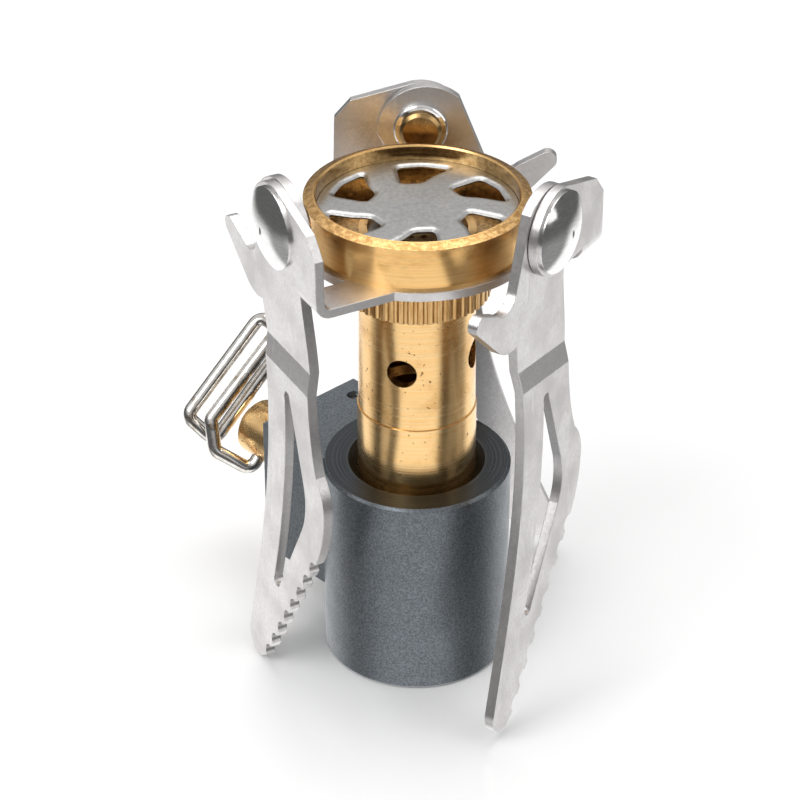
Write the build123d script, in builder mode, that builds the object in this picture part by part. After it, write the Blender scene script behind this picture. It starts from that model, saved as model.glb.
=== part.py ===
from build123d import *

import os
from math import cos, radians, sin

# Upright canister gas stove, folded: it screws onto a threaded gas canister, and three
# sheet-metal pot supports swing on riveted ears round the burner.
# Millimetres, +Z up. The origin is on the burner's axis at the mouth of the canister thread.
# The rear support's hinge faces +Y.

os.makedirs("parts", exist_ok=True)

# Running clearance on a radius, used for every pin that turns in a hole
RUN = 0.05

# Valve body and the boss that carries the needle spindle
BODY_R = 8.7
BODY_H = 20.4
THREAD_R = 5.25
THREAD_LENGTH = 5.4
SEAL_RECESS_R = 5.7
SEAL_SEAT = 9.0
PASSAGE_R = 1.0
BOSS_AZIMUTH = 135
BOSS_REACH = 14.3
BOSS_SIDES = (-6.4, 5.2)
BOSS_CORNER_R = 1.1
BOSS_FLOOR = 6.0
SOCKET_R = 5.44
SOCKET_FLOOR = 16.0
FILTER_R = 2.2
FILTER_H = 0.8

# Needle spindle, measured along the boss from the burner's axis
SPINDLE_Z = 13.1
SPINDLE_BORE_R = 2.55
NEEDLE_BORE_R = 1.0
LAND_R = SPINDLE_BORE_R - RUN
STEM_R = 1.9
SPIGOT_R = 1.4
LAND_START = 4.0
RING_GROOVE = (6.4, 7.8)
RING_GROOVE_R = 1.7
PIN_GROOVE = 10.6
NUT_SEAT = BOSS_REACH - 1.6
NUT_THREAD_R = 3.0
NUT_HEX_R = 3.7
NUT_FACE = BOSS_REACH + 1.7
HEAD_START = NUT_FACE + 0.4
HEAD_END = 23.2
HEAD_R = 2.8
SPIGOT_END = HEAD_START + 2.6
STOP_PIN_AT = 11.8
STOP_PIN_OFFSET = 3.0
STOP_PIN_R = 0.7

# Wire handle: one wire, hinged in a cross hole of the spindle head and bent like a paper
# clip. Each point gives its place along the cross hole, out from it, and across the clip.
CROSS_HOLE_AT = 20.7
CROSS_TILT = 42
FOLD = 50
WIRE_R = 0.7
WIRE_BEND_R = 1.0
CLIP_STEP = 1.7
CLIP_FRONT = ((3.6, 0), (-4.2, 0), (-4.2, 4.1), (-1.7, 6.0), (9.3, 4.4))
CLIP_BACK = ((9.6, 6.4), (-2.6, 8.0), (-3.5, 4.4), (6.5, 3.2))

# Burner column
HOLDER_FLOOR = 17.8
HOLDER_TOP = 26.7
HOLDER_BORE_R = 4.6
TUBE_FOOT_R = 5.34
TUBE_TOP_R = 5.2
AIR_HOLE_Z = 32.5
AIR_HOLE_R = 1.37
AIR_HOLE_AZIMUTH = -14
CLAMP_NUT_R = 6.53
CLAMP_NUT_FOOT = 38.4
CLAMP_STEP = 39.5

# Support bracket, one folded sheet
SHEET = 0.8
PLATE_Z = 42.96
PLATE_R = 10.35
NECK_R = 5.8
EAR_OUT = 13.92
BEND_IN_R = 0.6
LEG_FROM = 4.4
LEG_TO = 8.0
EAR_R = 4.0
HINGE_Z = 48.0

# Burner head
CUP_R = 9.94
CUP_WALL_IN = 8.84
CUP_LEDGE_IN = 8.3
CUP_FLOOR = 0.8
CUP_LEDGE_Z = 46.2
CUP_RIM_Z = 47.95
FLAME_PLATE_T = 0.45
SCREEN_T = 0.3

# One window of the flame plate as radius and azimuth: six of them swirl round the plate
WINDOW_COUNT = 6
WINDOW = ((7.75, 15.5), (7.95, -2.0), (7.85, -20.5), (5.9, -11.0), (4.45, -2.5), (4.55, 20.5))

# Pot supports and their rivets
ARM_OUT = EAR_OUT - SHEET - RUN
ARM_T = 0.9
ARM_PIVOT_R = 1.2
RIVET_R = ARM_PIVOT_R - RUN
RIVET_HEAD_R = 3.65
RIVET_HEAD_H = 1.25
WASHER_R = 2.45
WASHER_T = 0.45
TAIL_R = 1.9
TAIL_T = 0.6
TOOTH_COUNT = 8
TOOTH_PITCH = 2.45
TOOTH_R = 0.82

# Hinge directions round the burner, and how far each support hangs away from straight
# down in the folded pose, clockwise as seen from outside
HINGES = {"left": (210, 0), "right": (330, 6.5), "rear": (90, 10)}


def outward(azimuth):
    """Unit vector that points away from the burner's axis."""
    return Vector(cos(radians(azimuth)), sin(radians(azimuth)), 0)


def along(azimuth):
    """Unit vector to the right of the outward one, for a viewer outside the stove."""
    return Vector(-sin(radians(azimuth)), cos(radians(azimuth)), 0)


def hinge_plane(azimuth, reach, turn=0):
    """Plane that faces outward at a hinge, turned clockwise, with its origin on the pivot."""
    tangent = along(azimuth) * cos(radians(turn)) - Vector(0, 0, sin(radians(turn)))
    centre = outward(azimuth) * reach + Vector(0, 0, HINGE_Z)
    return Plane(origin=centre, x_dir=tangent, z_dir=outward(azimuth))


def section_plane(azimuth, reach, turn=0):
    """Plane across a hinge: its x runs outward and its y up the sheet."""
    face = hinge_plane(azimuth, reach, turn)
    return Plane(origin=face.origin, x_dir=outward(azimuth), z_dir=face.x_dir * -1)


def boss_plane(distance):
    """Plane across the spindle at a distance from the burner's axis, facing outward."""
    centre = outward(BOSS_AZIMUTH) * distance + Vector(0, 0, SPINDLE_Z)
    return Plane(origin=centre, x_dir=along(BOSS_AZIMUTH), z_dir=outward(BOSS_AZIMUTH))


def polar(radius, azimuth):
    return radius * cos(radians(azimuth)), radius * sin(radians(azimuth))


def save(piece, name):
    piece.part.label = name
    export_step(piece.part, f"parts/{name}.step")


# Frames that several pieces share
boss_frame = Plane(origin=(0, 0, 0), x_dir=outward(BOSS_AZIMUTH), z_dir=(0, 0, 1))
spindle_frame = Plane(
    origin=(0, 0, SPINDLE_Z), x_dir=outward(BOSS_AZIMUTH), z_dir=along(BOSS_AZIMUTH) * -1
)

# ---------------------------------------------------------------- valve body
with BuildPart() as valve_body:
    with BuildSketch(Plane.XY):
        Circle(BODY_R)
    extrude(amount=BODY_H)
    chamfer(valve_body.faces().sort_by(Axis.Z)[0].edges(), 0.3)
    with BuildSketch(boss_frame.offset(BOSS_FLOOR)) as boss_outline:
        with Locations((0, -BOSS_SIDES[1])):
            Rectangle(BOSS_REACH, BOSS_SIDES[1] - BOSS_SIDES[0], align=Align.MIN)
        outer_corners = boss_outline.vertices().group_by(Axis((0, 0, 0), outward(BOSS_AZIMUTH)))
        fillet(outer_corners[-1], BOSS_CORNER_R)
    extrude(amount=BODY_H - BOSS_FLOOR)
    chamfer(valve_body.faces().sort_by(Axis.Z)[-1].edges(), 0.25)
    with BuildSketch(Plane.XZ) as bores:
        with BuildLine():
            Polyline(
                (0, 0),
                (THREAD_R, 0),
                (THREAD_R, THREAD_LENGTH),
                (SEAL_RECESS_R, THREAD_LENGTH),
                (SEAL_RECESS_R, SEAL_SEAT),
                (PASSAGE_R, SEAL_SEAT),
                (PASSAGE_R, SOCKET_FLOOR - FILTER_H),
                (FILTER_R, SOCKET_FLOOR - FILTER_H),
                (FILTER_R, SOCKET_FLOOR),
                (SOCKET_R, SOCKET_FLOOR),
                (SOCKET_R, BODY_H - 0.9),
                (SOCKET_R + 0.9, BODY_H),
                (0, BODY_H),
                close=True,
            )
        make_face()
    revolve(axis=Axis.Z, mode=Mode.SUBTRACT)
    with BuildSketch(boss_plane(0)):
        Circle(NEEDLE_BORE_R)
    extrude(amount=LAND_START, mode=Mode.SUBTRACT)
    with BuildSketch(boss_plane(LAND_START - 0.5)):
        Circle(SPINDLE_BORE_R)
    extrude(amount=BOSS_REACH, mode=Mode.SUBTRACT)
    with BuildSketch(boss_plane(NUT_SEAT)):
        Circle(NUT_THREAD_R)
    extrude(amount=BOSS_REACH, mode=Mode.SUBTRACT)
    with BuildSketch(boss_frame.offset(BODY_H)):
        with Locations((STOP_PIN_AT, -STOP_PIN_OFFSET)):
            Circle(STOP_PIN_R)
    extrude(amount=SPINDLE_Z - 2 - BODY_H, mode=Mode.SUBTRACT)
save(valve_body, "valve_body")

with BuildPart() as stop_pin:
    with BuildSketch(boss_frame.offset(SPINDLE_Z - 2)):
        with Locations((STOP_PIN_AT, -STOP_PIN_OFFSET)):
            Circle(STOP_PIN_R)
    extrude(amount=BODY_H - 0.6 - SPINDLE_Z + 2)
    chamfer(stop_pin.faces().sort_by(Axis.Z)[-1].edges(), 0.15)
save(stop_pin, "spindle_stop_pin")

# ---------------------------------------------------------------- gas inlet
with BuildPart() as canister_seal:
    with BuildSketch(Plane.XZ):
        with Locations((4.5, SEAL_SEAT - 0.92)):
            Circle(0.9)
    revolve(axis=Axis.Z)
save(canister_seal, "canister_seal")

with BuildPart() as valve_pin:
    with BuildSketch(Plane.XZ):
        with BuildLine():
            Polyline(
                (0.4, 5.6),
                (1.2, 5.6),
                (1.5, 5.9),
                (1.5, 7.4),
                (2.6, 7.4),
                (2.6, SEAL_SEAT),
                (PASSAGE_R, SEAL_SEAT),
                (PASSAGE_R, 10.9),
                (0.4, 10.9),
                close=True,
            )
        make_face()
    revolve(axis=Axis.Z)
save(valve_pin, "valve_pin")

with BuildPart() as gas_filter:
    with BuildSketch(Plane.XY.offset(SOCKET_FLOOR - FILTER_H)):
        Circle(FILTER_R)
    extrude(amount=FILTER_H)
save(gas_filter, "gas_filter")

# ---------------------------------------------------------------- needle valve
with BuildPart() as needle_spindle:
    with BuildSketch(spindle_frame):
        with BuildLine():
            Polyline(
                (0.5, 0),
                (0.5, 0.15),
                (2.4, 0.85),
                (LAND_START, 0.85),
                (LAND_START, LAND_R),
                (RING_GROOVE[0], LAND_R),
                (RING_GROOVE[0], RING_GROOVE_R),
                (RING_GROOVE[1], RING_GROOVE_R),
                (RING_GROOVE[1], LAND_R),
                (PIN_GROOVE, LAND_R),
                (PIN_GROOVE, STEM_R),
                (HEAD_START, STEM_R),
                (HEAD_START, SPIGOT_R),
                (SPIGOT_END, SPIGOT_R),
                (SPIGOT_END, 0),
                close=True,
            )
        make_face()
    revolve(axis=Axis((0, 0, SPINDLE_Z), outward(BOSS_AZIMUTH)))
save(needle_spindle, "needle_spindle")

with BuildPart() as spindle_ring:
    with BuildSketch(spindle_frame):
        with Locations((sum(RING_GROOVE) / 2, 2.12)):
            Circle(0.4)
    revolve(axis=Axis((0, 0, SPINDLE_Z), outward(BOSS_AZIMUTH)))
save(spindle_ring, "spindle_o_ring")

with BuildPart() as packing_nut:
    with BuildSketch(boss_plane(NUT_SEAT)):
        Circle(NUT_THREAD_R)
    extrude(amount=BOSS_REACH - NUT_SEAT)
    with BuildSketch(boss_plane(BOSS_REACH)):
        RegularPolygon(NUT_HEX_R, 6)
    extrude(amount=NUT_FACE - BOSS_REACH)
    with BuildSketch(boss_plane(NUT_SEAT)):
        Circle(STEM_R + RUN)
    extrude(amount=BOSS_REACH, mode=Mode.SUBTRACT)
save(packing_nut, "packing_nut")

# The cross hole and the handle lie in this frame: hole_way runs up the cross hole, out_way
# from the hole to the folded clip, and face_way away from the clip's face.
boss_side = along(BOSS_AZIMUTH) * -1
hole_way = boss_side * sin(radians(CROSS_TILT)) + Vector(0, 0, cos(radians(CROSS_TILT)))
fold_side = Vector(0, 0, sin(radians(CROSS_TILT))) - boss_side * cos(radians(CROSS_TILT))
out_way = outward(BOSS_AZIMUTH) * cos(radians(FOLD)) + fold_side * sin(radians(FOLD))
face_way = hole_way.cross(out_way)
cross_centre = outward(BOSS_AZIMUTH) * CROSS_HOLE_AT + Vector(0, 0, SPINDLE_Z)


def clip_points(places, depth):
    return [cross_centre + hole_way * up + out_way * out + face_way * depth for up, out in places]


with BuildPart() as spindle_head:
    with BuildSketch(spindle_frame):
        with BuildLine():
            Polyline(
                (HEAD_START, SPIGOT_R),
                (HEAD_START, HEAD_R),
                (HEAD_END - 0.6, HEAD_R),
                (HEAD_END, HEAD_R - 0.6),
                (HEAD_END, 0),
                (SPIGOT_END, 0),
                (SPIGOT_END, SPIGOT_R),
                close=True,
            )
        make_face()
    revolve(axis=Axis((0, 0, SPINDLE_Z), outward(BOSS_AZIMUTH)))
    with BuildSketch(Plane(origin=cross_centre, z_dir=hole_way)):
        Circle(WIRE_R + RUN)
    extrude(amount=HEAD_R + 1, both=True, mode=Mode.SUBTRACT)
save(spindle_head, "spindle_head")

with BuildPart() as wire_handle:
    with BuildLine() as handle_line:
        FilletPolyline(
            *clip_points(CLIP_FRONT, 0),
            *clip_points(CLIP_BACK, -CLIP_STEP),
            radius=WIRE_BEND_R,
        )
    with BuildSketch(Plane(origin=handle_line.line @ 0, z_dir=handle_line.line % 0)):
        Circle(WIRE_R)
    sweep()
save(wire_handle, "wire_handle")

# ---------------------------------------------------------------- burner column
with BuildPart() as jet_holder:
    with BuildSketch(Plane.XZ):
        with BuildLine():
            Polyline(
                (1.6, SOCKET_FLOOR),
                (SOCKET_R, SOCKET_FLOOR),
                (SOCKET_R, HOLDER_TOP),
                (HOLDER_BORE_R, HOLDER_TOP),
                (HOLDER_BORE_R, HOLDER_FLOOR),
                (1.6, HOLDER_FLOOR),
                close=True,
            )
        make_face()
    revolve(axis=Axis.Z)
save(jet_holder, "jet_holder")

with BuildPart() as gas_jet:
    with BuildSketch(Plane.XY.offset(SOCKET_FLOOR)):
        Circle(1.6)
    extrude(amount=HOLDER_FLOOR - SOCKET_FLOOR)
    with BuildSketch(Plane.XY.offset(HOLDER_FLOOR)):
        RegularPolygon(2.4, 6)
    extrude(amount=2.0)
    with BuildSketch(Plane.XY.offset(HOLDER_FLOOR + 2.0)):
        Circle(1.3)
    extrude(amount=2.2, taper=12)
    Hole(0.25, depth=20)
save(gas_jet, "gas_jet")

tube_bore_r = HOLDER_BORE_R - 0.7
with BuildPart() as mixing_tube:
    with BuildSketch(Plane.XZ):
        with BuildLine():
            Polyline(
                (tube_bore_r, 24.2),
                (HOLDER_BORE_R, 24.2),
                (HOLDER_BORE_R, HOLDER_TOP),
                (TUBE_FOOT_R, HOLDER_TOP),
                (TUBE_TOP_R, CLAMP_NUT_FOOT),
                (TUBE_TOP_R, PLATE_Z + SHEET + CUP_FLOOR),
                (TUBE_TOP_R - 0.8, PLATE_Z + SHEET + CUP_FLOOR),
                (TUBE_TOP_R - 0.8, HOLDER_TOP + 1),
                (tube_bore_r, HOLDER_TOP + 0.3),
                close=True,
            )
        make_face()
    revolve(axis=Axis.Z)
    for step in range(4):
        azimuth = AIR_HOLE_AZIMUTH + 90 * step
        with BuildSketch(Plane(origin=(0, 0, AIR_HOLE_Z), z_dir=outward(azimuth))):
            Circle(AIR_HOLE_R)
        extrude(amount=BODY_R, mode=Mode.SUBTRACT)
save(mixing_tube, "mixing_tube")

with BuildPart() as clamp_nut:
    with BuildSketch(Plane.XY.offset(CLAMP_NUT_FOOT)):
        Circle(CLAMP_NUT_R)
        with PolarLocations(CLAMP_NUT_R + 0.1, 48):
            Circle(0.26, mode=Mode.SUBTRACT)
    extrude(amount=PLATE_Z - CLAMP_NUT_FOOT)
    with BuildSketch(Plane.XY.offset(CLAMP_NUT_FOOT)):
        Circle(TUBE_TOP_R)
    extrude(amount=PLATE_Z - CLAMP_NUT_FOOT, mode=Mode.SUBTRACT)
    with BuildSketch(Plane.XY.offset(CLAMP_STEP)):
        Circle(NECK_R)
    extrude(amount=PLATE_Z - CLAMP_STEP, mode=Mode.SUBTRACT)
save(clamp_nut, "clamp_nut")

# ---------------------------------------------------------------- burner head
plate_top = PLATE_Z + SHEET
with BuildPart() as burner_cup:
    with BuildSketch(Plane.XZ):
        with BuildLine():
            Polyline(
                (TUBE_TOP_R, CLAMP_STEP),
                (NECK_R, CLAMP_STEP),
                (NECK_R, plate_top),
                (CUP_R, plate_top),
                (CUP_R, CUP_RIM_Z - 0.35),
                (CUP_WALL_IN + 0.15, CUP_RIM_Z),
                (CUP_WALL_IN, CUP_RIM_Z - 0.15),
                (CUP_WALL_IN, CUP_LEDGE_Z),
                (CUP_LEDGE_IN, CUP_LEDGE_Z),
                (CUP_LEDGE_IN, plate_top + CUP_FLOOR),
                (TUBE_TOP_R, plate_top + CUP_FLOOR),
                close=True,
            )
        make_face()
    revolve(axis=Axis.Z)
save(burner_cup, "burner_cup")

with BuildPart() as flame_plate:
    with BuildSketch(Plane.XY.offset(CUP_LEDGE_Z)):
        Circle(CUP_WALL_IN - 0.03)
        with PolarLocations(0, WINDOW_COUNT, start_angle=30):
            Polygon(*[polar(r, azimuth) for r, azimuth in WINDOW], align=None, mode=Mode.SUBTRACT)
    extrude(amount=FLAME_PLATE_T)
    window_corners = flame_plate.edges().filter_by(Axis.Z)
    fillet(window_corners, 0.25)
save(flame_plate, "flame_plate")

with BuildPart() as flame_screen:
    with BuildSketch(Plane.XY.offset(plate_top)):
        Circle(TUBE_TOP_R - 0.8)
        for ring_r, hole_count in ((1.2, 6), (2.3, 12), (3.4, 18)):
            with PolarLocations(ring_r, hole_count):
                Circle(0.32, mode=Mode.SUBTRACT)
    extrude(amount=SCREEN_T)
save(flame_screen, "flame_screen")

# ---------------------------------------------------------------- support bracket
ear_in = EAR_OUT - SHEET
bend_out_r = BEND_IN_R + SHEET
bend_r_at = ear_in - BEND_IN_R
bend_z_at = plate_top + BEND_IN_R
with BuildPart() as support_bracket:
    with BuildSketch(Plane.XY.offset(PLATE_Z)):
        Circle(PLATE_R)
    extrude(amount=SHEET)
    for azimuth, _ in HINGES.values():
        # Leg and bend, drawn across the ear: x outward, y up from the hinge line
        foot = Plane(
            origin=along(azimuth) * LEG_FROM, x_dir=outward(azimuth), z_dir=along(azimuth) * -1
        )
        with BuildSketch(foot):
            with BuildLine():
                Line((3.0, PLATE_Z), (bend_r_at, PLATE_Z))
                CenterArc((bend_r_at, bend_z_at), bend_out_r, 270, 90)
                Line((EAR_OUT, bend_z_at), (ear_in, bend_z_at))
                CenterArc((bend_r_at, bend_z_at), BEND_IN_R, 0, -90)
                Line((bend_r_at, plate_top), (3.0, plate_top))
                Line((3.0, plate_top), (3.0, PLATE_Z))
            make_face()
        extrude(amount=-(LEG_TO - LEG_FROM))
        # Ear, drawn on the face that looks outward
        ear_foot = bend_z_at - HINGE_Z
        with BuildSketch(hinge_plane(azimuth, ear_in)):
            Circle(EAR_R)
            with BuildLine():
                Polyline(
                    (1.35, 3.76),
                    (6.4, 2.2),
                    (LEG_TO - 0.1, 0.4),
                    (LEG_TO, ear_foot),
                    (LEG_FROM, ear_foot),
                    (0.9, -EAR_R + 0.1),
                    (0, 0),
                    close=True,
                )
            make_face()
            Circle(RIVET_R, mode=Mode.SUBTRACT)
        extrude(amount=SHEET)
    with BuildSketch(Plane.XY.offset(PLATE_Z)):
        Circle(NECK_R)
    extrude(amount=SHEET, mode=Mode.SUBTRACT)
save(support_bracket, "support_bracket")


# ---------------------------------------------------------------- pot supports
def make_support(name, azimuth, turn):
    """Sheet support: a flat hinge end with a hook, a jog, then a slotted arm with teeth."""
    with BuildPart() as support:
        with BuildSketch(section_plane(azimuth, ARM_OUT, turn)) as bent_sheet:
            with BuildLine():
                Polyline(
                    (0, 6),
                    (0, -12.2),
                    (0.45, -14.2),
                    (1.95, -50),
                    (1.95 - ARM_T, -50),
                    (0.45 - ARM_T, -14.2),
                    (-ARM_T, -12.2),
                    (-ARM_T, 6),
                    close=True,
                )
            make_face()
        extrude(amount=14, both=True)
        with BuildSketch(hinge_plane(azimuth, ARM_OUT, turn)):
            with BuildLine():
                Spline((-3.6, -12.0), (-2.4, -23.7), (-3.0, -31.0), (-5.75, -45.2))
                ThreePointArc((-5.75, -45.2), (-5.1, -47.3), (-3.4, -47.6))
                Line((-3.4, -47.6), (-2.2, -46.7))
                Line((-2.2, -46.7), (7.3, -30.3))
                ThreePointArc((7.3, -30.3), (8.2, -28.2), (8.65, -25.0))
                ThreePointArc((8.65, -25.0), (8.3, -22.9), (7.1, -21.4))
                Spline((7.1, -21.4), (6.0, -18.6), (4.3, -9.5), (3.3, -5.2), (4.0, 0))
                ThreePointArc((4.0, 0), (0, 4.0), (-3.9, 2.4))
                Line((-3.9, 2.4), (-5.2, -3.9))
                ThreePointArc((-5.2, -3.9), (-6.3, -5.35), (-8.1, -5.15))
                Line((-8.1, -5.15), (-10.5, -4.3))
                ThreePointArc((-10.5, -4.3), (-11.6, -4.7), (-11.3, -5.8))
                Line((-11.3, -5.8), (-7.3, -8.9))
                ThreePointArc((-7.3, -8.9), (-5.6, -9.5), (-4.3, -9.3))
                Line((-4.3, -9.3), (-3.6, -12.0))
            make_face()
            with BuildLine():
                Spline((0.75, -16.6), (1.0, -21.0), (0.8, -26.5), (-0.8, -36.6))
                ThreePointArc((-0.8, -36.6), (-0.4, -37.4), (0.35, -36.9))
                Line((0.35, -36.9), (4.6, -28.2))
                ThreePointArc((4.6, -28.2), (5.15, -25.6), (4.5, -22.9))
                Line((4.5, -22.9), (1.7, -16.2))
                ThreePointArc((1.7, -16.2), (1.05, -15.8), (0.75, -16.6))
            make_face(mode=Mode.SUBTRACT)
            run = Vector(-9.5, -16.4).normalized()
            for tooth in range(TOOTH_COUNT):
                spot = Vector(7.0, -31.2) + run * TOOTH_PITCH * tooth
                with Locations(spot):
                    Circle(TOOTH_R, mode=Mode.SUBTRACT)
            Circle(ARM_PIVOT_R, mode=Mode.SUBTRACT)
        extrude(amount=5, both=True, mode=Mode.INTERSECT)
    save(support, name)


def make_rivet(name, azimuth):
    """Domed rivet through ear and support, with its peened tail inside."""
    tail_in = ARM_OUT - ARM_T - RUN - WASHER_T - TAIL_T
    with BuildPart() as rivet:
        with BuildSketch(section_plane(azimuth, 0)):
            with BuildLine():
                Polyline(
                    (EAR_OUT + RIVET_HEAD_H, 0),
                    (tail_in, 0),
                    (tail_in, TAIL_R - 0.3),
                    (tail_in + 0.3, TAIL_R),
                    (tail_in + TAIL_T, TAIL_R),
                    (tail_in + TAIL_T, RIVET_R),
                    (EAR_OUT, RIVET_R),
                    (EAR_OUT, RIVET_HEAD_R),
                    (EAR_OUT + 0.25, RIVET_HEAD_R),
                )
                TangentArc(
                    (EAR_OUT + RIVET_HEAD_H, 0),
                    (EAR_OUT + 0.25, RIVET_HEAD_R),
                    tangent=(0, 1),
                    tangent_from_first=True,
                )
            make_face()
        revolve(axis=Axis((0, 0, HINGE_Z), outward(azimuth)))
    save(rivet, name)


def make_washer(name, azimuth):
    """Washer between the support and the rivet's tail."""
    with BuildPart() as washer:
        with BuildSketch(hinge_plane(azimuth, ARM_OUT - ARM_T - RUN - WASHER_T)):
            Circle(WASHER_R)
            Circle(RIVET_R, mode=Mode.SUBTRACT)
        extrude(amount=WASHER_T)
        chamfer(washer.edges().group_by(SortBy.LENGTH)[-1], 0.12)
    save(washer, name)


for place, (hinge_azimuth, hang) in HINGES.items():
    make_support(f"pot_support_{place}", hinge_azimuth, hang)
    make_rivet(f"hinge_rivet_{place}", hinge_azimuth)
    make_washer(f"hinge_washer_{place}", hinge_azimuth)
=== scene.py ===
from math import cos, radians, sin, tau

import bmesh
import bpy
import numpy as np
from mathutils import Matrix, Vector
from mathutils.geometry import delaunay_2d_cdt


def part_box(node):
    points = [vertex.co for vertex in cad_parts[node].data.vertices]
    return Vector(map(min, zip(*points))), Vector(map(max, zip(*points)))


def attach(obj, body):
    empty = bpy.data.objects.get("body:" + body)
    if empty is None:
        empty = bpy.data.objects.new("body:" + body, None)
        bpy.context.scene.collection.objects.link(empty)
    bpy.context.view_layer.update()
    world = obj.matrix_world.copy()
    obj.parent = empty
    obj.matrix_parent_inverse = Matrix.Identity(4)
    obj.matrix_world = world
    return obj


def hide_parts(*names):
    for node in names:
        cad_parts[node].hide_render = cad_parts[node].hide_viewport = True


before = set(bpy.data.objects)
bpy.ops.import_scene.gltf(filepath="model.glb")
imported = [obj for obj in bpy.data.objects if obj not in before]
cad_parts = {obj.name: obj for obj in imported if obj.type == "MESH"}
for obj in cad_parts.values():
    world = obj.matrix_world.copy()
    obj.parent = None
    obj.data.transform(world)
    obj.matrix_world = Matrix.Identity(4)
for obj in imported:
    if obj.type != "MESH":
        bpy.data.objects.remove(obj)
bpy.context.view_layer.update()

MM = 0.001

# Places that the frame gives
CUP_LOW, CUP_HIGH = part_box("burner_cup")
BODY_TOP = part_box("valve_body")[1].z
PLATE_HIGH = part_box("flame_plate")[1]
PLACES = ("left", "right", "rear")

# One window of the flame plate as radius in millimetres and azimuth in degrees
WINDOW_COUNT = 6
WINDOW = ((7.75, 15.5), (7.95, -2.0), (7.85, -20.5), (5.9, -11.0), (4.45, -2.5), (4.55, 20.5))
WINDOW_ROLL = 0.5 * MM
ROLL_DEPTH = 0.26 * MM
DOME = 0.12 * MM
PLATE_SHEET = 0.33 * MM

# Canister thread, 28 turns to the inch
THREAD_PITCH = 25.4 * MM / 28
THREAD_ROOT = 5.27 * MM
THREAD_CREST = 4.98 * MM
THREAD_START = 0.75 * MM
THREAD_TURNS = 4.6


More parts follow.
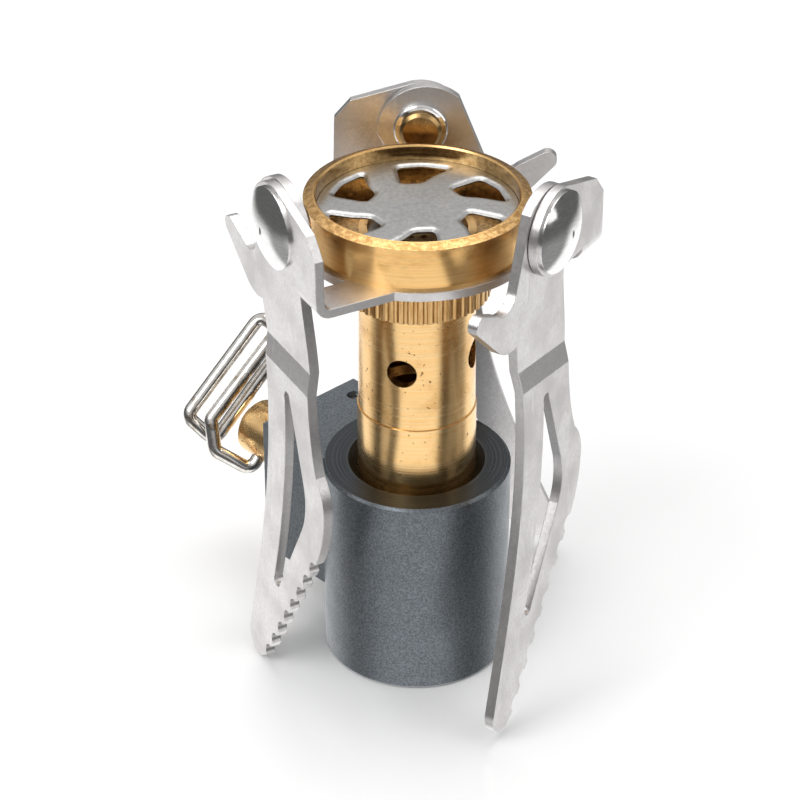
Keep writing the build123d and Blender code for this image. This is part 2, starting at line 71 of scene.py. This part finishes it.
# ------------------------------------------------------------------ shader helpers
class Shade:
    """One node material, with short calls for the nodes that the finishes share."""

    def __init__(self, name, colour, metallic, roughness):
        self.material = bpy.data.materials.new(name)
        self.material.use_nodes = True
        self.tree = self.material.node_tree
        self.tree.nodes.clear()
        output = self.tree.nodes.new("ShaderNodeOutputMaterial")
        self.shader = self.tree.nodes.new("ShaderNodeBsdfPrincipled")
        self.shader.inputs["Base Color"].default_value = (*colour, 1)
        self.shader.inputs["Metallic"].default_value = metallic
        self.shader.inputs["Roughness"].default_value = roughness
        self.link(self.shader.outputs["BSDF"], output.inputs["Surface"])
        self.place = self.tree.nodes.new("ShaderNodeTexCoord").outputs["Object"]
        self.normal = self.tree.nodes.new("ShaderNodeTexCoord").outputs["Normal"]

    def link(self, source, target):
        self.tree.links.new(source, target)

    def math(self, operation, a, b=0.0, c=0.0):
        node = self.tree.nodes.new("ShaderNodeMath")
        node.operation = operation
        for socket, value in zip(node.inputs, (a, b, c)):
            if isinstance(value, (int, float)):
                socket.default_value = value
            else:
                self.link(value, socket)
        return node.outputs[0]

    def scaled(self, scale, vector=None):
        node = self.tree.nodes.new("ShaderNodeVectorMath")
        node.operation = "MULTIPLY"
        self.link(self.place if vector is None else vector, node.inputs[0])
        node.inputs[1].default_value = scale
        return node.outputs["Vector"]

    def along(self, vector, direction, origin=(0, 0, 0)):
        """How far a point lies along a direction, in metres."""
        shift = self.tree.nodes.new("ShaderNodeVectorMath")
        shift.operation = "SUBTRACT"
        self.link(vector, shift.inputs[0])
        shift.inputs[1].default_value = origin
        dot = self.tree.nodes.new("ShaderNodeVectorMath")
        dot.operation = "DOT_PRODUCT"
        self.link(shift.outputs[0], dot.inputs[0])
        dot.inputs[1].default_value = direction
        return dot.outputs["Value"]

    def noise(self, vector, detail=3.0, rough=0.55, scale=1.0):
        node = self.tree.nodes.new("ShaderNodeTexNoise")
        node.inputs["Scale"].default_value = scale
        node.inputs["Detail"].default_value = detail
        node.inputs["Roughness"].default_value = rough
        self.link(vector, node.inputs["Vector"])
        return node.outputs["Fac"]

    def spread(self, value, low, high, to_low=0.0, to_high=1.0):
        node = self.tree.nodes.new("ShaderNodeMapRange")
        node.interpolation_type = "SMOOTHSTEP"
        self.link(value, node.inputs["Value"])
        node.inputs["From Min"].default_value = low
        node.inputs["From Max"].default_value = high
        node.inputs["To Min"].default_value = to_low
        node.inputs["To Max"].default_value = to_high
        return node.outputs["Result"]

    def mix(self, factor, first, second):
        node = self.tree.nodes.new("ShaderNodeMix")
        node.data_type = "RGBA"
        self.link(factor, node.inputs["Factor"])
        for socket, value in ((node.inputs[6], first), (node.inputs[7], second)):
            if isinstance(value, tuple):
                socket.default_value = (*value, 1)
            else:
                self.link(value, socket)
        return node.outputs[2]

    def radius(self):
        """Distance from the burner's axis, in metres."""
        flat = self.scaled((1, 1, 0))
        node = self.tree.nodes.new("ShaderNodeVectorMath")
        node.operation = "LENGTH"
        self.link(flat, node.inputs[0])
        return node.outputs["Value"]

    def joined(self, x, y=0.0, z=0.0):
        node = self.tree.nodes.new("ShaderNodeCombineXYZ")
        for socket, value in zip(node.inputs, (x, y, z)):
            if isinstance(value, (int, float)):
                socket.default_value = value
            else:
                self.link(value, socket)
        return node.outputs[0]

    def edges(self, radius):
        """1 along sharp edges, 0 on flat faces."""
        bevel = self.tree.nodes.new("ShaderNodeBevel")
        bevel.samples = 4
        bevel.inputs["Radius"].default_value = radius
        face = self.tree.nodes.new("ShaderNodeNewGeometry")
        dot = self.tree.nodes.new("ShaderNodeVectorMath")
        dot.operation = "DOT_PRODUCT"
        self.link(bevel.outputs[0], dot.inputs[0])
        self.link(face.outputs["Normal"], dot.inputs[1])
        return self.spread(dot.outputs["Value"], 0.985, 0.86)

    def lathe(self, fine):
        """Rings round the burner's axis, as a turning tool leaves them."""
        height = self.math("MULTIPLY", self.along(self.place, (0, 0, 1)), fine)
        reach = self.math("MULTIPLY", self.radius(), fine)
        return self.noise(self.joined(reach, 0.0, height), 4.0, 0.65)

    def colour(self, source):
        self.link(source, self.shader.inputs["Base Color"])

    def rough(self, source):
        self.link(source, self.shader.inputs["Roughness"])

    def relief(self, height, depth, edge=0.0, strength=1.0):
        """Bump of a real depth in metres, over edges rounded by a small radius."""
        bump = self.tree.nodes.new("ShaderNodeBump")
        bump.inputs["Strength"].default_value = strength
        bump.inputs["Distance"].default_value = depth
        self.link(height, bump.inputs["Height"])
        if edge:
            bevel = self.tree.nodes.new("ShaderNodeBevel")
            bevel.samples = 4
            bevel.inputs["Radius"].default_value = edge
            self.link(bevel.outputs[0], bump.inputs["Normal"])
        self.link(bump.outputs[0], self.shader.inputs["Normal"])


# ------------------------------------------------------------------ finishes
def coated_aluminium():
    """Dark blue-grey hard coat over a blasted surface: fine grain, small glints, and bare
    metal along the worn edges, lightened further as a painted edge highlight. The top ring round the
    burner is turned smooth and darker; the recess within 6 mm of the axis is darkened with the same
    colour as painted shade."""
    s = Shade("coated_aluminium", (0.15, 0.17, 0.19), 0.9, 0.42)
    grain = s.noise(s.scaled((5600, 5600, 5600)), 2.0, 0.7)
    cloud = s.noise(s.scaled((420, 420, 420)), 3.0)
    height = s.along(s.place, (0, 0, 1))
    reach = s.radius()
    turned = s.math("MULTIPLY", s.spread(height, BODY_TOP - 1.2 * MM, BODY_TOP - 0.9 * MM),
                    s.spread(reach, 8.55 * MM, 8.35 * MM))
    # painted shade: the recess within 6 mm of the axis, darkened like the turned ring
    painted_recess_shade = s.spread(reach, 6.1 * MM, 5.9 * MM)
    rings = s.lathe(6500.0)
    coat = s.mix(s.spread(grain, 0.30, 0.72), (0.105, 0.119, 0.131), (0.215, 0.238, 0.258))
    ring_and_recess_shade_tone = s.mix(s.spread(rings, 0.35, 0.7), (0.035, 0.04, 0.045), (0.09, 0.098, 0.105))
    # lighter bare metal along the edges: partly real edge wear, partly a painted highlight
    edge_wear_sheen_and_dark_inner_wall = s.math("MULTIPLY", s.edges(0.10 * MM), s.spread(cloud, 0.38, 0.62, 0.15, 0.85))
    skin = s.mix(s.math("MAXIMUM", turned, painted_recess_shade), coat, ring_and_recess_shade_tone)
    s.colour(s.mix(edge_wear_sheen_and_dark_inner_wall, skin, (0.36, 0.38, 0.40)))
    coat_rough = s.math("ADD", s.spread(cloud, 0.3, 0.7, 0.29, 0.35),
                        s.math("MULTIPLY", grain, 0.08))
    s.rough(s.math("SUBTRACT", coat_rough, s.math("MULTIPLY", turned, 0.16)))
    s.relief(s.math("ADD", grain, s.math("MULTIPLY", rings, turned)), 0.028 * MM, 0.12 * MM)
    return s.material


def turned_brass(name, dull, edge):
    """Brass off the lathe: rings round the burner's axis, light tarnish and small pits, and a painted
    highlight along the sharp edges.
    """
    s = Shade(name, (0.88, 0.58, 0.26), 1.0, 0.22)
    rings = s.lathe(5200.0)
    cloud = s.noise(s.scaled((330, 330, 330)), 4.0, 0.6)
    pits = s.spread(s.noise(s.scaled((2600, 2600, 2600)), 1.0, 0.5), 0.70, 0.76)
    clean = s.mix(s.spread(rings, 0.3, 0.7), (0.86, 0.53, 0.215), (0.95, 0.665, 0.335))
    tarnished = s.mix(s.spread(cloud, 0.45, 0.85), clean, dull)
    marked = s.mix(pits, tarnished, (0.34, 0.19, 0.07))
    # painted highlight: lighter brass along the sharp edges
    s.colour(s.mix(s.math("MULTIPLY", s.edges(0.07 * MM), 0.6), marked, (0.96, 0.74, 0.42)))
    s.rough(s.math("ADD", s.spread(rings, 0.3, 0.7, 0.15, 0.24), s.math("MULTIPLY", cloud, 0.08)))
    s.relief(s.math("SUBTRACT", rings, pits), 0.010 * MM, edge)
    return s.material


def fluted_brass():
    """Brass nut under the bracket: fine lines across its rim and a duller tone."""
    s = Shade("fluted_brass", (0.70, 0.42, 0.17), 1.0, 0.3)
    lines = s.noise(s.scaled((6000, 6000, 350)), 3.0, 0.6)
    cloud = s.noise(s.scaled((500, 500, 500)), 3.0)
    tone = s.mix(s.spread(lines, 0.32, 0.68), (0.50, 0.28, 0.10), (0.84, 0.56, 0.26))
    s.colour(s.mix(s.spread(cloud, 0.5, 0.9), tone, (0.46, 0.27, 0.11)))
    s.rough(s.spread(lines, 0.3, 0.7, 0.24, 0.36))
    s.relief(lines, 0.02 * MM, 0.05 * MM)
    return s.material


def cup_brass():
    """Brass of the burner cup: browner in patches, with a coarse speckled bevel at the rim and a
    darker, speckled inner wall above the plate.
    """
    s = Shade("cup_brass", (0.80, 0.48, 0.18), 1.0, 0.25)
    height = s.along(s.place, (0, 0, 1))
    reach = s.radius()
    rings = s.lathe(4200.0)
    cloud = s.noise(s.scaled((260, 260, 600)), 4.0, 0.6)
    speck = s.noise(s.scaled((2400, 2400, 2400)), 4.0, 0.7)
    bright = s.mix(s.spread(rings, 0.3, 0.7), (0.78, 0.46, 0.17), (0.88, 0.58, 0.25))
    side = s.mix(s.spread(cloud, 0.45, 0.78), bright, (0.56, 0.31, 0.10))
    rim = s.mix(s.spread(speck, 0.38, 0.62), (0.42, 0.23, 0.08), (0.74, 0.47, 0.20))
    rim_low = CUP_HIGH.z - 0.36 * MM
    wall_out = CUP_HIGH.x
    on_rim = s.math("MULTIPLY", s.spread(height, rim_low - 0.08 * MM, rim_low + 0.04 * MM),
                    s.spread(reach, wall_out - 0.95 * MM, wall_out - 0.80 * MM))
    inside = s.math("MULTIPLY", s.spread(reach, wall_out - 1.0 * MM, wall_out - 1.15 * MM),
                    s.spread(height, CUP_LOW.z + 4.0 * MM, CUP_LOW.z + 4.3 * MM))
    # inner wall of the cup above the plate: darker, speckled brass
    edge_wear_sheen_and_dark_inner_wall = s.mix(s.spread(speck, 0.35, 0.62), (0.34, 0.20, 0.08), (0.66, 0.45, 0.21))
    s.colour(s.mix(on_rim, s.mix(inside, side, edge_wear_sheen_and_dark_inner_wall), rim))
    s.rough(s.math("ADD", s.spread(rings, 0.3, 0.7, 0.18, 0.27), s.math("MULTIPLY", on_rim, 0.12)))
    relief = s.math("ADD", s.math("MULTIPLY", rings, 0.3), s.math("MULTIPLY", speck, on_rim))
    s.relief(relief, 0.03 * MM, 0.05 * MM)
    return s.material


def sheet_steel():
    """Stainless sheet with a tumbled satin face, and a painted highlight line along its cut edges."""
    s = Shade("sheet_steel", (0.72, 0.705, 0.695), 1.0, 0.34)
    fine = s.noise(s.scaled((3000, 3000, 3000)), 4.0, 0.7)
    cloud = s.noise(s.scaled((260, 260, 260)), 3.0)
    scuffs = s.spread(s.noise(s.scaled((900, 900, 190)), 2.0, 0.5), 0.62, 0.72)
    face = s.mix(s.spread(fine, 0.3, 0.7), (0.66, 0.64, 0.635), (0.79, 0.77, 0.765))
    toned = s.mix(s.spread(cloud, 0.35, 0.8), face, (0.66, 0.64, 0.625))
    marked = s.mix(s.math("MULTIPLY", scuffs, 0.35), toned, (0.85, 0.84, 0.83))
    # painted highlight: lighter steel along the cut edges
    s.colour(s.mix(s.math("MULTIPLY", s.edges(0.09 * MM), 0.6), marked, (0.90, 0.89, 0.88)))
    s.rough(s.math("ADD", s.spread(cloud, 0.3, 0.7, 0.29, 0.37), s.math("MULTIPLY", fine, 0.06)))
    s.relief(s.math("SUBTRACT", fine, s.math("MULTIPLY", scuffs, 0.5)), 0.014 * MM, 0.12 * MM)
    return s.material


def burner_steel():
    """Pressed flame plate: even grey satin with a faint straw tint from the flame."""
    s = Shade("burner_steel", (0.50, 0.495, 0.48), 1.0, 0.34)
    fine = s.noise(s.scaled((2600, 2600, 2600)), 4.0, 0.7)
    cloud = s.noise(s.scaled((240, 240, 240)), 3.0)
    face = s.mix(s.spread(fine, 0.3, 0.7), (0.42, 0.415, 0.405), (0.56, 0.555, 0.545))
    s.colour(s.mix(s.spread(cloud, 0.5, 0.9), face, (0.48, 0.44, 0.38)))
    s.rough(s.spread(cloud, 0.3, 0.7, 0.27, 0.36))
    s.relief(fine, 0.012 * MM, 0.05 * MM)
    return s.material


def polished_steel():
    """Pins: bright, with hair-fine handling marks."""
    s = Shade("polished_steel", (0.80, 0.79, 0.78), 1.0, 0.09)
    marks = s.noise(s.scaled((900, 5000, 900)), 4.0, 0.7)
    cloud = s.noise(s.scaled((500, 500, 500)), 3.0)
    s.colour(s.mix(s.spread(marks, 0.35, 0.7), (0.74, 0.735, 0.725), (0.86, 0.855, 0.85)))
    s.rough(s.spread(cloud, 0.35, 0.75, 0.08, 0.16))
    s.relief(marks, 0.003 * MM, 0.05 * MM)
    return s.material


def rivet_steel():
    """Polished steel head on a rivet whose peened tail, nearer the axis, shows worn brass."""
    s = Shade("rivet_steel", (0.80, 0.79, 0.78), 1.0, 0.1)
    marks = s.noise(s.scaled((1400, 1400, 5000)), 4.0, 0.7)
    cloud = s.noise(s.scaled((500, 500, 500)), 3.0)
    steel = s.mix(s.spread(marks, 0.35, 0.7), (0.74, 0.735, 0.725), (0.86, 0.855, 0.85))
    brass = s.mix(s.spread(cloud, 0.35, 0.7), (0.30, 0.19, 0.08), (0.56, 0.38, 0.17))
    on_tail = s.spread(s.radius(), 12.35 * MM, 12.15 * MM)
    s.colour(s.mix(on_tail, steel, brass))
    head_rough = s.spread(cloud, 0.35, 0.75, 0.08, 0.16)
    s.rough(s.math("ADD", head_rough, s.math("MULTIPLY", on_tail, 0.16)))
    s.relief(marks, 0.004 * MM, 0.06 * MM)
    return s.material


def wire_steel():
    """Bright drawn wire: draw lines and a few nicks, with brown painted into the nick patches as a
    painted reflection of the brass.
    """
    s = Shade("wire_steel", (0.78, 0.75, 0.71), 1.0, 0.1)
    lines = s.noise(s.scaled((1500, 1500, 1500)), 4.0, 0.6)
    nicks_and_brass_reflection = s.noise(s.scaled((700, 700, 700)), 2.0)
    bright = s.mix(s.spread(lines, 0.4, 0.7), (0.68, 0.65, 0.61), (0.84, 0.82, 0.79))
    # painted reflection: brown of the brass painted into the nick patches
    s.colour(s.mix(s.spread(nicks_and_brass_reflection, 0.56, 0.70), bright, (0.50, 0.43, 0.36)))
    s.rough(s.spread(lines, 0.35, 0.75, 0.07, 0.16))
    s.relief(s.math("MULTIPLY", lines, s.spread(nicks_and_brass_reflection, 0.55, 0.68)), 0.02 * MM)
    return s.material


def seal_rubber():
    """Black seal rubber, faintly grey where it has been handled."""
    s = Shade("seal_rubber", (0.02, 0.02, 0.02), 0.0, 0.6)
    grain = s.noise(s.scaled((3500, 3500, 3500)), 3.0)
    s.colour(s.mix(grain, (0.012, 0.012, 0.012), (0.035, 0.034, 0.033)))
    s.rough(s.spread(grain, 0.3, 0.7, 0.5, 0.7))
    s.relief(grain, 0.01 * MM)
    return s.material


def sintered_bronze():
    """Gas filter: small bronze balls sintered together."""
    s = Shade("sintered_bronze", (0.50, 0.33, 0.16), 1.0, 0.55)
    grain = s.noise(s.scaled((9000, 9000, 9000)), 2.0)
    s.colour(s.mix(s.spread(grain, 0.35, 0.65), (0.24, 0.15, 0.07), (0.66, 0.45, 0.24)))
    s.rough(s.spread(grain, 0.3, 0.7, 0.45, 0.7))
    s.relief(grain, 0.06 * MM)
    return s.material


# ------------------------------------------------------------------ materials on CAD nodes
def dress(node, material):
    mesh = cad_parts[node].data
    mesh.materials.clear()
    mesh.materials.append(material)


BODY_COAT = coated_aluminium()
TUBE_BRASS = turned_brass("tube_brass", (0.68, 0.39, 0.14), 0.08 * MM)
DARK_BRASS = turned_brass("worn_brass", (0.56, 0.32, 0.12), 0.10 * MM)
SHEET = sheet_steel()
RIVET_STEEL = rivet_steel()
PIN_STEEL = polished_steel()
RUBBER = seal_rubber()
FLAME_STEEL = burner_steel()

dress("valve_body", BODY_COAT)
dress("burner_cup", cup_brass())
dress("clamp_nut", fluted_brass())
dress("support_bracket", SHEET)
for node in ("jet_holder", "mixing_tube", "gas_jet", "valve_pin"):
    dress(node, TUBE_BRASS)
for node in ("needle_spindle", "spindle_head", "packing_nut"):
    dress(node, DARK_BRASS)
for place in PLACES:
    dress(f"pot_support_{place}", SHEET)
    dress(f"hinge_rivet_{place}", RIVET_STEEL)
    dress(f"hinge_washer_{place}", PIN_STEEL)
dress("spindle_stop_pin", PIN_STEEL)
dress("wire_handle", wire_steel())
dress("gas_filter", sintered_bronze())
dress("flame_screen", FLAME_STEEL)
dress("canister_seal", RUBBER)
dress("spindle_o_ring", RUBBER)


# ------------------------------------------------------------------ detail pieces
def new_piece(name, mesh, material):
    mesh.materials.append(material)
    piece = bpy.data.objects.new(name, mesh)
    bpy.context.scene.collection.objects.link(piece)
    return piece


def softened(corners, rounds=2):
    """Closed outline with its corners cut again and again until they are round."""
    points = [Vector(corner) for corner in corners]
    for _ in range(rounds):
        ahead = points[1:] + points[:1]
        points = [p for a, b in zip(points, ahead) for p in (a.lerp(b, 0.13), a.lerp(b, 0.87))]
    return points


def outline_distance(places, outlines):
    """Distance of each place from the nearest outline, and whether it lies inside one."""
    nearest = np.full(len(places), 1.0)
    inside = np.zeros(len(places), dtype=bool)
    for outline in outlines:
        a = np.array(outline)
        step = np.roll(a, -1, axis=0) - a
        gap = places[:, None, :] - a[None]
        share = np.clip((gap * step).sum(2) / (step * step).sum(1), 0, 1)
        nearest = np.minimum(nearest, np.linalg.norm(gap - share[..., None] * step, axis=2).min(1))
        rises = (a[:, 1] > places[:, None, 1]) != ((a + step)[:, 1] > places[:, None, 1])
        with np.errstate(divide="ignore", invalid="ignore"):
            cross_x = a[:, 0] + (places[:, None, 1] - a[:, 1]) * step[:, 0] / step[:, 1]
        inside |= (np.sum(rises & (places[:, None, 0] < cross_x), axis=1) % 2).astype(bool)
    return nearest, inside


def flame_plate():
    """Pressed plate with six swirled windows whose edges are rolled down, slightly domed."""
    reach = PLATE_HIGH.x
    windows = []
    for turn in range(30, 390, 360 // WINDOW_COUNT):
        ways = [Vector((cos(radians(a + turn)), sin(radians(a + turn)))) for _, a in WINDOW]
        spots = [way * r * MM for way, (r, _) in zip(ways, WINDOW)]
        windows.append([tuple(spot) for spot in softened(spots)])
    rim_steps = 160
    rim = [(reach * cos(tau * k / rim_steps), reach * sin(tau * k / rim_steps))
           for k in range(rim_steps)]
    pitch = 0.20 * MM
    rows = int(reach / pitch)
    grid = np.array([((i + (j % 2) / 2) * pitch, j * pitch * 0.866)
                     for j in range(-rows * 2, rows * 2) for i in range(-rows - 1, rows + 1)])
    grid = grid[np.linalg.norm(grid, axis=1) < reach - pitch * 0.5]
    near, inside = outline_distance(grid, windows)
    grid = grid[(near > pitch * 0.45) & ~inside]
    outline_points = rim + [p for window in windows for p in window]
    edges, first = [], 0
    for loop in [rim] + windows:
        edges += [(first + k, first + (k + 1) % len(loop)) for k in range(len(loop))]
        first += len(loop)
    points = [Vector(p) for p in outline_points] + [Vector(p) for p in grid]
    verts, _, faces, *_ = delaunay_2d_cdt(points, edges, [], 0, 1e-9)
    flat = np.array([tuple(v) for v in verts])
    middles = np.array([flat[list(face)].mean(axis=0) for face in faces])
    _, in_window = outline_distance(middles, windows)
    kept = [face for face, gone in zip(faces, in_window) if not gone]
    near, _ = outline_distance(flat, windows)
    roll = np.clip(1 - near / WINDOW_ROLL, 0, 1) ** 2 * ROLL_DEPTH
    dome = (1 - (np.linalg.norm(flat, axis=1) / reach) ** 2) * DOME
    heights = PLATE_HIGH.z - DOME + dome - roll
    work = bmesh.new()
    corners = [work.verts.new((x, y, z)) for (x, y), z in zip(flat, heights)]
    for face in kept:
        work.faces.new([corners[k] for k in face])
    bmesh.ops.delete(work, geom=[v for v in work.verts if not v.link_faces], context="VERTS")
    bmesh.ops.recalc_face_normals(work, faces=work.faces)
    if sum(face.normal.z for face in work.faces) < 0:
        bmesh.ops.reverse_faces(work, faces=work.faces)
    bmesh.ops.solidify(work, geom=work.faces[:], thickness=PLATE_SHEET)
    mesh = bpy.data.meshes.new("pressed_flame_plate")
    work.to_mesh(mesh)
    work.free()
    mesh.shade_smooth()
    mesh.set_sharp_from_angle(angle=radians(50))
    piece = new_piece("pressed_flame_plate", mesh, FLAME_STEEL)
    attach(piece, "stove")
    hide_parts("flame_plate")


def canister_thread():
    """Helical ridge of the internal thread, fading out at both ends."""
    steps = 72
    profile = ((THREAD_ROOT, -0.42), (THREAD_CREST, -0.08), (THREAD_CREST, 0.08), (THREAD_ROOT, 0.42))
    count = int(THREAD_TURNS * steps)
    verts = []
    for k in range(count + 1):
        turn = tau * k / steps
        fade = min(1, k / 30, (count - k) / 30)
        for r, share in profile:
            reach = THREAD_ROOT + (r - THREAD_ROOT) * fade
            height = THREAD_START + THREAD_PITCH * (k / steps + share)
            verts.append((reach * cos(turn), reach * sin(turn), height))
    faces = [(4 * k + a, 4 * k + (a + 1) % 4, 4 * k + 4 + (a + 1) % 4, 4 * k + 4 + a)
             for k in range(count) for a in range(4)]
    faces += [(3, 2, 1, 0), tuple(4 * count + a for a in range(4))]
    mesh = bpy.data.meshes.new("canister_thread")
    mesh.from_pydata(verts, [], faces)
    mesh.update()
    work = bmesh.new()
    work.from_mesh(mesh)
    bmesh.ops.recalc_face_normals(work, faces=work.faces)
    work.to_mesh(mesh)
    work.free()
    piece = new_piece("canister_thread", mesh, BODY_COAT)
    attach(piece, "stove")


flame_plate()
canister_thread()


# ------------------------------------------------------------------ floor, light and camera
def floor():
    mesh = bpy.data.meshes.new("floor")
    reach = 3.0
    corners = [(-reach, -reach, 0), (reach, -reach, 0), (reach, reach, 0), (-reach, reach, 0)]
    mesh.from_pydata(corners, [], [(0, 1, 2, 3)])
    s = Shade("floor", (0.93, 0.93, 0.93), 0.0, 0.14)
    s.shader.inputs["Specular IOR Level"].default_value = 0.5
    piece = new_piece("floor", mesh, s.material)
    piece.visible_glossy = False


def softbox(name, place, aim, size, power):
    light = bpy.data.lights.new(name, "AREA")
    light.shape = "RECTANGLE"
    light.size, light.size_y = size
    light.energy = power
    lamp = bpy.data.objects.new(name, light)
    bpy.context.scene.collection.objects.link(lamp)
    lamp.location = place
    lamp.rotation_euler = (Vector(aim) - Vector(place)).to_track_quat("-Z", "Y").to_euler()


def studio_sky():
    """White surround with a dark belt at eye level, and two dark cards low at each side that
    draw the upright dark bands on the turned metal."""
    world = bpy.data.worlds.new("studio")
    bpy.context.scene.world = world
    world.use_nodes = True
    tree = world.node_tree
    tree.nodes.clear()
    output = tree.nodes.new("ShaderNodeOutputWorld")
    sky = tree.nodes.new("ShaderNodeBackground")
    tree.links.new(sky.outputs[0], output.inputs[0])
    way = tree.nodes.new("ShaderNodeTexCoord").outputs["Generated"]
    split = tree.nodes.new("ShaderNodeSeparateXYZ")
    tree.links.new(way, split.inputs[0])

    def math(operation, a, b=0.0):
        node = tree.nodes.new("ShaderNodeMath")
        node.operation = operation
        for socket, value in zip(node.inputs, (a, b)):
            if isinstance(value, (int, float)):
                socket.default_value = value
            else:
                tree.links.new(value, socket)
        return node.outputs[0]

    def ramp(source, low, high, to_low=0.0, to_high=1.0):
        node = tree.nodes.new("ShaderNodeMapRange")
        node.interpolation_type = "SMOOTHSTEP"
        tree.links.new(source, node.inputs["Value"])
        for socket, value in zip(("From Min", "From Max", "To Min", "To Max"),
                                 (low, high, to_low, to_high)):
            node.inputs[socket].default_value = value
        return node.outputs[0]

    azimuth = math("ARCTAN2", split.outputs["X"], math("MULTIPLY", split.outputs["Y"], -1.0))

    def card(centre, half, depth):
        """1 away from a card at this azimuth in degrees, less in front of it."""
        off = math("ABSOLUTE", math("SUBTRACT", azimuth, radians(centre)))
        return ramp(off, radians(half - 9), radians(half + 9), 1 - depth, 1.0)

    low = ramp(split.outputs["Z"], -0.50, -0.24, 1.0, 0.0)
    high = ramp(split.outputs["Z"], 0.15, 0.5)
    wide_cards = math("MULTIPLY", card(-82, 17, 0.78), card(82, 28, 0.84))
    thin_cards = math("MULTIPLY", card(-57, 9.5, 0.5), card(56, 9.5, 0.5))
    cards = math("MULTIPLY", thin_cards, wide_cards)
    floor_light = math("MULTIPLY", math("MULTIPLY", low, cards), 1.42)
    sky_light = math("MULTIPLY", high, 0.76)
    tree.links.new(math("ADD", math("ADD", floor_light, sky_light), 0.17), sky.inputs["Strength"])


def camera():
    data = bpy.data.cameras.new("camera")
    data.lens = 111.2
    data.sensor_width = 36
    data.clip_start = 0.005
    lens = bpy.data.objects.new("camera", data)
    bpy.context.scene.collection.objects.link(lens)
    lens.location = (0.00386, -0.1894, 0.1475)
    lens.rotation_euler = (radians(57.453), 0, radians(1.63))
    bpy.context.scene.camera = lens


floor()
studio_sky()
softbox("key", (-0.22, -0.20, 0.34), (0, 0, 0.025), (0.26, 0.26), 0.80)
softbox("fill", (0.34, -0.10, 0.20), (0, 0, 0.03), (0.16, 0.34), 0.22)
softbox("top", (0.0, 0.12, 0.42), (0, 0, 0.03), (0.34, 0.26), 0.62)
camera()
bpy.context.scene.view_settings.view_transform = "Standard"
